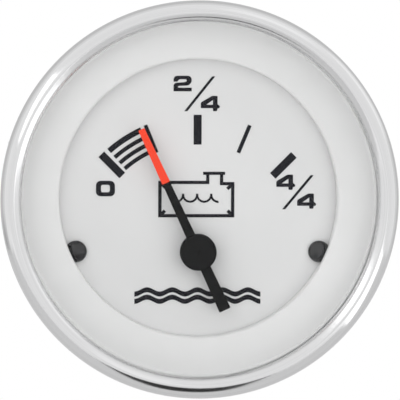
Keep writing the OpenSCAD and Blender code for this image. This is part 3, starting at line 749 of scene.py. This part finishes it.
def blade(mesh, start, end, front, back, grow):
    """Tapered bar along the pointer between two distances from the pivot, its long edges rounded off."""
    def half_width(along):
        share = (along + tail_length) / (pointer_length + tail_length)
        return (tail_width + (tip_width - tail_width) * share) / 2

    edge, start_edge = long_edge, long_edge * 0.3
    stations = [start, start + start_edge, start + edge, end - edge, end - start_edge, end]
    inset = [edge, start_edge, 0, 0, start_edge, edge]
    rings = []
    for along, less in zip(stations, inset):
        half = half_width(along) + grow
        section = eased([
            (-half + less, back - less * 0.5, edge), (half - less, back - less * 0.5, edge),
            (half - less, front + less * 0.5, edge), (-half + less, front + less * 0.5, edge),
        ], 3)
        rings.append([
            mesh.verts.new((
                across * math.cos(pointer_lean) - along * math.sin(pointer_lean), depth,
                pivot_z + across * math.sin(pointer_lean) + along * math.cos(pointer_lean),
            ))
            for across, depth in section
        ])
    skin(mesh, rings, capped=True)


mesh = bmesh.new()
blade(mesh, -tail_length, pointer_length, blade_front, blade_back, 0)
spin(mesh, eased([
    (0, hub_back, 0), (hub_r, hub_back, 0.25 * MM), (hub_r, hub_front, 0.35 * MM),
    (hub_hole_r, hub_front, 0.02 * MM), (hub_hole_floor_r, hub_hole_floor, 0), (0, hub_hole_floor, 0),
], 6), (0, pivot_z), 128)
finished("pointer_moulding", mesh, pointer_black, "pointer_set", "pointer")

mesh = bmesh.new()
blade(mesh, paint_start, pointer_length + coat, blade_front - coat, blade_back - 0.02 * MM, coat)
finished("pointer_coat", mesh, paint, "pointer_set", "pointer_paint")

# Trim ring: a white moulding whose face slopes in under the glass to a rounded edge, with a low wall down to
# the dial and a fine rib just inside the gasket. A skirt behind the face holds the dial, and the wall is
# notched for the rivets.

gasket_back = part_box("lens_gasket")[1].y
trim_out_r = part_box("trim_ring")[1].x
rib_out_r, rib_in_r = 27.05 * MM, 26.8 * MM
rib_top = gasket_back - 0.7 * MM
slope_out_r = 26.6 * MM
window_r = 21.1 * MM
edge_y = case_low.y + 0.3 * MM
skirt_r = 24.4 * MM
skirt_wall = 0.9 * MM
wall_back_r, skirt_in_r = window_r + skirt_wall, skirt_r - skirt_wall
wall_foot = dial_front - 0.15 * MM

ring_outline = eased([
    (trim_out_r, case_low.y, 0.1 * MM), (trim_out_r, gasket_back, 0.1 * MM),
    (rib_out_r, gasket_back, 0.02 * MM), (rib_out_r, rib_top, 0.05 * MM), (rib_in_r, rib_top, 0.1 * MM),
    (slope_out_r, gasket_back, 0.3 * MM), (window_r, edge_y, 0.6 * MM), (window_r, wall_foot, 0.05 * MM),
    (wall_back_r, wall_foot, 0.05 * MM), (wall_back_r, edge_y + 1 * MM, 0.4 * MM),
    (skirt_in_r, edge_y + 0.7 * MM, 0.4 * MM), (skirt_in_r, dial_front, 0.1 * MM),
    (skirt_r, dial_front, 0.1 * MM), (skirt_r, case_low.y, 0.1 * MM),
], 8)
ring = bmesh.new()
spin(ring, ring_outline, columns=384)
notches = bmesh.new()
for node in ("dial_rivet_left", "dial_rivet_right"):
    drill(notches, axis_of(node), rivet_head_r + 0.45 * MM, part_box(node)[0].y - 0.3 * MM, 0)
finished("trim_moulding", worked(ring, ("DIFFERENCE", notches)), white_plastic, "gauge", "trim_ring")

# Lens and its gasket: flat float glass with a ground edge and a thin coat against glare, held in a soft
# rubber ring of L section.

lens_low, lens_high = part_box("lens")
lens_r = lens_high.x
bezel_low, bezel_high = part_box("bezel")
bezel_r = bezel_high.x
sheet = 0.5 * MM
seal_in_r = 27.1 * MM
seal_out_r, seal_back_r = bezel_r - sheet, bezel_r - sheet - 0.26 * MM


def clear(name, slot, tint, smears_per_mm):
    """Glass thin enough to look straight through: it lets light by, and mirrors more of it at a slant."""
    square_on = 0.006
    finish = Finish(name, slot, "ShaderNodeMixShader")
    smears = finish.noise(smears_per_mm, 4.0)
    slant = finish.node("ShaderNodeLayerWeight", {}, {"Blend": 0.5}, "Facing")
    mirror = {"Color": (1, 1, 1), "Roughness": 0.01 + 0.03 * smears}
    finish.vary(0, square_on + (1 - square_on) * slant ** 3.5)
    finish.vary(1, finish.node("ShaderNodeBsdfTransparent", {}, {"Color": tint}))
    finish.vary(2, finish.node("ShaderNodeBsdfGlossy", {}, mirror))
    return finish


glass = clear("float glass", "clear_glass", (0.988, 0.99, 0.989), 0.08)

turned("lens_glass", eased([
    (0, lens_low.y, 0), (lens_r, lens_low.y, 0.3 * MM), (lens_r, lens_high.y, 0.2 * MM), (0, lens_high.y, 0),
], 2), glass, "gauge", "lens", columns=256)

rubber = moulded("black rubber", "rubber", (0.018, 0.018, 0.018), 0.65, 3.0, 0.012, 0.25)

turned("lens_seal", eased([
    (lens_r, lens_low.y, 0.1 * MM), (seal_out_r, lens_low.y, 0.1 * MM), (seal_back_r, gasket_back, 0.1 * MM),
    (seal_in_r, gasket_back, 0.2 * MM), (seal_in_r, lens_high.y, 0.2 * MM), (lens_r, lens_high.y, 0.05 * MM),
], 3), rubber, "gauge", "lens_gasket", columns=192)

# Bezel: thin stainless sheet, spun to a half-round bead that stands on the glass, drawn in along the skirt
# and curled under the flange of the case. It is polished on the lathe, which leaves faint rings.

skirt_foot_r = bezel_r - 0.6 * MM
lip_r = 27.8 * MM
back = bezel_high.y
bead_r = 1.65 * MM
bead_middle = bezel_r - bead_r
bead_y = bezel_low.y + bead_r
foot_turn = 66
bead_foot_r = bead_middle - bead_r * math.sin(math.radians(foot_turn))
bead_foot_t = 0.42 * MM


def bead(radius, start, end, steps):
    """Arc of the bead's section, its angle counted from the crest, outwards positive."""
    turns = [math.radians(start + (end - start) * step / steps) for step in range(steps + 1)]
    return [(bead_middle + radius * math.sin(turn), bead_y - radius * math.cos(turn)) for turn in turns]


bezel_outline = [(bead_foot_r, bead_y)] + bead(bead_r, -foot_turn, 90, 40) + eased([
    (bezel_r, bead_y, 0), (skirt_foot_r, back, 0.5 * MM), (lip_r, back, 0.2 * MM),
    (lip_r, back - sheet, 0.2 * MM), (skirt_foot_r - sheet, back - sheet, 0.15 * MM),
    (bezel_r - sheet, bead_y, 0),
], 6) + bead(bead_r - sheet, 90, -60, 22) + [(bead_foot_r + bead_foot_t, bead_y)]

steel = Finish("polished stainless", "polished_steel", Metallic=1.0, Anisotropic=0.3)
place_x = steel.node("ShaderNodeSeparateXYZ", {}, {0: steel.place})
place_y, place_z = place_x.other("Y"), place_x.other("Z")
from_axis = (place_x * place_x + place_z * place_z) ** 0.5
polish_rings = steel.noise(11.0, 3.0, steel.node("ShaderNodeCombineXYZ", {}, {0: from_axis, 1: place_y}))
wiped = steel.noise(0.15, 3.0)
steel.vary("Base Color", polish_rings.ease(0.3, 0.7).blend((0.62, 0.62, 0.625), (0.68, 0.68, 0.685)))
steel.vary("Roughness", 0.1 + 0.05 * polish_rings + 0.05 * wiped)
steel.relief(polish_rings, 0.008 * MM)

turned("bezel_rim", bezel_outline, steel, "gauge", "bezel", columns=512)

# Panel gasket: a ring of black rubber on the collar of the case. It lies behind the flange and the bezel's
# curl, which squeeze it against the panel.

gasket_out_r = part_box("panel_gasket")[1].x

turned("panel_seal", eased([
    (collar_r, lip_front, 0.05 * MM), (lip_r, lip_front, 0.05 * MM), (lip_r, back, 0.05 * MM),
    (gasket_out_r, back, 0.05 * MM), (gasket_out_r, 0, 0.3 * MM), (collar_r, 0, 0.2 * MM),
], 4), rubber, "gauge", "panel_gasket", columns=192)

# Clamp: a steel strap bent to a U and zinc plated. Its bridge is holed for the studs, and its notched feet
# press on the back of the panel when the fluted thumb nuts are run down on their spring washers.

strap_low, strap_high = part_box("clamp_bracket")
strap_t = 1.5 * MM
bend_r = 1.5 * MM
outer_bend_r = bend_r + strap_t
foot_y = strap_low.y
bridge_front = strap_high.y - strap_t
strap_out, strap_in = strap_high.x, strap_high.x - strap_t
notch_depth, notch_half = 1 * MM, 2 * MM

strap_outline = eased([
    (strap_out, foot_y, 0), (strap_out, strap_high.y, outer_bend_r), (-strap_out, strap_high.y, outer_bend_r),
    (-strap_out, foot_y, 0), (-strap_in, foot_y, 0), (-strap_in, bridge_front, bend_r),
    (strap_in, bridge_front, bend_r), (strap_in, foot_y, 0),
], 10)
notch = [(foot_y - notch_depth, -notch_half), (foot_y - notch_depth, notch_half), (foot_y + notch_depth, 0)]


def solid_between(mesh, *ends):
    """Solid between two like outlines of points in space."""
    skin(mesh, [[mesh.verts.new(point) for point in end] for end in ends], capped=True)


strap = bmesh.new()
solid_between(strap, *([(x, y, z) for x, y in strap_outline] for z in (strap_low.z, strap_high.z)))
cuts = bmesh.new()
for side, middle in zip((-1, 1), clamp_ends.values()):
    drill(cuts, middle, stud_r + 0.3 * MM, bridge_front - 1 * MM, strap_high.y + 1 * MM)
    for notch_z in (strap_low.z / 2, strap_high.z / 2):
        solid_between(cuts, *(
            [(side * (strap_in + across), y, notch_z + z) for y, z in notch] for across in (-1 * MM, 3 * MM)
        ))
strap = worked(strap, ("DIFFERENCE", cuts))
finished("clamp_strap", strap, zinc, "clamp", "clamp_bracket", soft_edge=0.12 * MM)

nickel = metal("nickel plate", "nickel_brass", (0.72, 0.7, 0.64), 0.24, 0.008, 0.4)
flutes = 24
flute_depth = 0.3 * MM
grip_r = 5.3 * MM
nut_foot_r, nut_foot_t = 4 * MM, 1.2 * MM


def fluted(turn, radius, depth):
    """Rounded grooves across the grip, which fade out at the chamfered ends."""
    sunk = flute_depth * max(0, math.cos(flutes * turn)) ** 0.5
    return (min(radius, grip_r - sunk) if radius > grip_r - 0.45 * MM else radius), depth


for name, middle in clamp_ends.items():
    spring_washer(f"clamp_washer_{name}", middle, stud_r + 0.2 * MM, stud_r + 1.9 * MM, "clamp")
    node = f"thumb_nut_{name}"
    low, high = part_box(node)
    bore_r, grip_y = stud_r - 0.2 * thread_depth, low.y + nut_foot_t
    turned(f"fluted_{node}", eased([
        (bore_r, low.y, 0.3 * MM), (nut_foot_r, low.y, 0.15 * MM), (nut_foot_r, grip_y, 0.15 * MM),
        (grip_r, grip_y, 0.3 * MM), (grip_r, high.y, 0.5 * MM), (bore_r + 1.2 * MM, high.y, 0.1 * MM),
        (bore_r, high.y - 0.25 * MM, 0.1 * MM),
    ], 4), nickel, f"{name}_thumb_nut", node, middle=middle, columns=288, shape=fluted)

# Lamp: a push-in holder with a ribbed grip and a wedge-base bulb. Two brass strips grip the bulb's wires and
# come out behind as blades for the leads.

holder_low, holder_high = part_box("lamp_holder")
bulb_low, bulb_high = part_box("lamp_bulb")
bulb_r = (bulb_high.x - bulb_low.x) / 2
bulb_hole_r = bulb_r + 0.2 * MM
lamp_z = lamp_middle[1]
holder_r, holder_flange_r, holder_grip_r = 6.4 * MM, 7.4 * MM, 5.6 * MM
flange_back = rear_y + 1.2 * MM
socket_floor = floor_y - 4.3 * MM
ribs, rib_r = 10, 0.5 * MM
holder_plastic = moulded("holder plastic", "holder_plastic", (0.035, 0.035, 0.038), 0.38, 4.0, 0.012, 0.2)


def ribbed(turn, radius, depth):
    """Half-round ribs along the grip only."""
    along_grip = flange_back + 0.05 * MM < depth <= holder_high.y - 0.5 * MM
    if not along_grip or radius < holder_grip_r - 0.7 * MM:
        return radius, depth
    apart = ((turn * ribs / (2 * math.pi) + 0.5) % 1 - 0.5) * 2 * math.pi / ribs * holder_grip_r
    return radius + max(0, rib_r ** 2 - apart ** 2) ** 0.5, depth


turned("lamp_socket", eased([
    (bulb_hole_r, holder_low.y, 0.1 * MM), (holder_r, holder_low.y, 0.6 * MM), (holder_r, rear_y, 0.05 * MM),
    (holder_flange_r, rear_y, 0.2 * MM), (holder_flange_r, flange_back, 0.3 * MM),
    (holder_grip_r, flange_back, 0), (holder_grip_r, flange_back + 0.1 * MM, 0),
    (holder_grip_r, holder_high.y - 0.9 * MM, 0), (holder_grip_r, holder_high.y, 0.5 * MM),
    (0, holder_high.y, 0), (0, socket_floor, 0), (bulb_hole_r, socket_floor, 0.3 * MM),
], 4), holder_plastic, "lamp", "lamp_holder", middle=lamp_middle, columns=360, shape=ribbed)

base_back = bulb_high.y
shoulder = socket_floor - 1.6 * MM
pinch_half_x, pinch_half_z = 4.2 * MM, 1.4 * MM
bulb_columns = 64


def squared(part):
    """A sine or cosine made fuller, so that a circle becomes a box with round corners."""
    return math.copysign(abs(part) ** 0.35, part)


profile = [
    (bulb_r * math.cos(turn), bulb_low.y + bulb_r - bulb_r * math.sin(turn), 0)
    for turn in (math.radians(90 - 90 * step / 16) for step in range(1, 17))
]
profile += [(bulb_r, shoulder - 2 * MM, 0), (bulb_r, shoulder, 0.15), (bulb_r, shoulder + 1.2 * MM, 0.6)]
profile += [(bulb_r, shoulder + 2.4 * MM, 1), (bulb_r, base_back - 0.3 * MM, 1), (bulb_r, base_back, 0.96)]
bulb = bmesh.new()
rings = []
for radius, depth, pinch in profile:
    ring = []
    for i in range(bulb_columns):
        turn = 2 * math.pi * i / bulb_columns
        across, up = math.cos(turn), math.sin(turn)
        x = (1 - pinch) * radius * across + pinch * pinch_half_x * squared(across)
        z = (1 - pinch) * radius * up + pinch * pinch_half_z * squared(up)
        ring.append(bulb.verts.new((x, depth, lamp_z + z)))
    rings.append(ring)
skin(bulb, rings)
tip = bulb.verts.new((0, bulb_low.y, lamp_z))
for i in range(bulb_columns):
    bulb.faces.new((tip, rings[0][i], rings[0][(i + 1) % bulb_columns]))
bulb.faces.new(rings[-1])

lamp_glass = clear("lamp glass", "lamp_glass", (0.96, 0.965, 0.95), 0.3)
finished("wedge_bulb", bulb, lamp_glass, "lamp", "lamp_bulb", crease=60)


def wire_along(mesh, points, radius):
    """Round wire through points, eight-sided."""
    rings = []
    for i, point in enumerate(points):
        ahead = (points[min(i + 1, len(points) - 1)] - points[max(i - 1, 0)]).normalized()
        side = ahead.cross(Vector((0.1, 0.2, 1))).normalized()
        over = ahead.cross(side)
        rings.append([
            mesh.verts.new(point + radius * (math.cos(turn) * side + math.sin(turn) * over))
            for turn in (math.pi * k / 4 for k in range(8))
        ])
    skin(mesh, rings, capped=True)


filament_y = bulb_low.y + 8 * MM
filament_span, filament_sag, filament_coil = 4.4 * MM, 0.6 * MM, 0.2 * MM
filament_steps = 120
leads = bmesh.new()
for side in (-1, 1):
    wire_along(leads, [Vector(point) for point in (
        (side * 2.2 * MM, filament_y, lamp_z), (side * 2.0 * MM, filament_y + 3 * MM, lamp_z),
        (side * 1.2 * MM, shoulder, lamp_z), (side * 1.2 * MM, base_back - 0.6 * MM, lamp_z),
    )], 0.16 * MM)
filament = []
for step in range(filament_steps + 1):
    share, turn = step / filament_steps, 0.9 * step
    depth = filament_y - filament_sag * math.sin(math.pi * share) + filament_coil * math.cos(turn)
    filament.append(Vector(((share - 0.5) * filament_span, depth, lamp_z + filament_coil * math.sin(turn))))
wire_along(leads, filament, 0.04 * MM)
finished("bulb_filament", leads, tinned, "lamp")

corner_cut = 1 * MM
eye_r = 0.75 * MM

for name in ("left", "right"):
    node = f"lamp_contact_{name}"
    low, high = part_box(node)
    outline = eased([
        (low.x, low.y, 0.2 * MM), (high.x, low.y, 0.2 * MM), (high.x, high.y - corner_cut, 0.3 * MM),
        (high.x - corner_cut, high.y, 0.3 * MM), (low.x + corner_cut, high.y, 0.3 * MM),
        (low.x, high.y - corner_cut, 0.3 * MM),
    ])
    strip = bmesh.new()
    solid_between(strip, *([(x, y, z) for x, y in outline] for z in (low.z, high.z)))
    eye = bmesh.new()
    bmesh.ops.create_cone(
        eye, cap_ends=True, segments=32, radius1=eye_r, radius2=eye_r, depth=4 * MM,
        matrix=Matrix.Translation((0, high.y - 2.2 * MM, (low.z + high.z) / 2)),
    )
    strip = worked(strip, ("DIFFERENCE", eye))
    finished(f"lamp_blade_{name}", strip, brass, "lamp", node, soft_edge=0.06 * MM)

# Studio: a pale floor well below the gauge, and soft light from all round with a few faint panels. Outside
# the view stand a dark card and two strip lights, which the bezel mirrors. The camera is a little to the left
# of the gauge's axis and above it.

floor_half, floor_z = 0.45, -0.15
floor_mesh = bmesh.new()
bmesh.ops.create_grid(
    floor_mesh, x_segments=8, y_segments=8, size=floor_half, matrix=Matrix.Translation((0, 0, floor_z))
)
paper = Finish("studio paper", None, Roughness=0.8)
fibres = paper.noise(0.05, 4.0)
paper.vary("Base Color", fibres.ease(0.3, 0.7).blend((0.86, 0.86, 0.86), (0.89, 0.89, 0.89)))
finished("studio_floor", floor_mesh, paper)

card_back, card_front = -45 * MM, -46 * MM
card_outline = eased([
    (-13 * MM, -62 * MM, 8 * MM), (10 * MM, -62 * MM, 8 * MM), (14 * MM, -30 * MM, 3 * MM),
    (-17 * MM, -30 * MM, 3 * MM),
])
card_mesh = bmesh.new()
solid_between(card_mesh, *([(x, y, z) for x, z in card_outline] for y in (card_back, card_front)))
finished("dark_card", card_mesh, moulded("dark card", None, (0.03, 0.03, 0.03), 0.8))

cloth = Finish("lamp cloth", None, Roughness=0.9, Emission_Strength=1.55)
weave = cloth.noise(0.3, 3.0)
cloth.vary("Base Color", weave.blend((0.5, 0.5, 0.5), (0.6, 0.6, 0.6)))
cloth.vary("Emission Color", weave.blend((0.96, 0.96, 0.96), (1, 1, 1)))
strip_in, strip_out = 31.5 * MM, 32.5 * MM
strip_low, strip_high = 10 * MM, 27 * MM
strip_back, strip_front = -20 * MM, -130 * MM

for name, side, front_share in (("left", -1, 1), ("right", 1, 0.75)):
    section = [
        (strip_in, strip_back, 1), (strip_out, strip_back, 1),
        (strip_out, strip_front, front_share), (strip_in, strip_front, front_share),
    ]
    strip_light = bmesh.new()
    solid_between(strip_light, *(
        [(side * share * across, depth, -side * share * up) for across, depth, share in section]
        for up in (strip_low, strip_high)
    ))
    finished(f"strip_light_{name}", strip_light, cloth)

world = bpy.data.worlds.new("studio light")
bpy.context.scene.world = world
light = Tree(world)
toward = light.node("ShaderNodeTexCoord")
parts = light.node("ShaderNodeSeparateXYZ", {}, {0: toward})
ahead = parts.other("Y") * -1.0
across, up = parts, parts.other("Z")
off_axis = (across * across + up * up) ** 0.5


def panel(azimuth, half_width, strength, low, high):
    """Soft panel in a band ahead or behind, its angle counted from the right. Below nought, strength dims."""
    turn = math.radians(azimuth)
    facing = (across * math.cos(turn) + up * math.sin(turn)) / off_axis
    edge = math.cos(math.radians(half_width))
    band = ahead.ease(low - 0.15, low + 0.15) * (1.0 - ahead.ease(high - 0.03, high + 0.03))
    return facing.ease(edge - 0.5 * (1 - edge), 1 - 0.2 * (1 - edge)) * band * strength


level = 0.74 + 0.34 * ahead.ease(-0.5, 0.35)
level += panel(62, 16, 0.18, 0.6, 0.92) + panel(213, 16, 0.26, 0.45, 0.88)
level += panel(30, 16, 0.22, -0.35, 0.4) + panel(240, 16, 0.22, -0.35, 0.4) + panel(207, 18, -0.3, -0.5, 0.3)
seen = light.node("ShaderNodeLightPath")
backdrop = light.node("ShaderNodeBackground", {}, {"Color": (1.0, 1.0, 1.0), "Strength": 1.0})
soft = light.node("ShaderNodeBackground", {}, {"Color": (1.0, 1.0, 1.0), "Strength": level})
light.node("ShaderNodeOutputWorld", {}, {
    "Surface": light.node("ShaderNodeMixShader", {}, {0: seen, 1: soft, 2: backdrop})
})

bpy.context.scene.view_settings.view_transform = "Standard"

camera = bpy.data.objects.new("camera", bpy.data.cameras.new("camera"))
bpy.context.scene.collection.objects.link(camera)
left_of_axis, above_axis, roll = math.radians(2.9), math.radians(3.2), math.radians(0.2)
distance = 0.6
seen_width = 60.15 * MM
sensor_width = 36
aim = Vector((0, bead_y, 0))
sight = Vector((
    -math.sin(left_of_axis) * math.cos(above_axis), -math.cos(left_of_axis) * math.cos(above_axis),
    math.sin(above_axis),
))
camera.location = aim + distance * sight
camera.rotation_euler = (sight.to_track_quat("Z", "Y") @ Quaternion((0, 0, 1), roll)).to_euler()
camera.data.sensor_width = sensor_width
camera.data.lens = sensor_width * distance / seen_width
bpy.context.scene.camera = camera
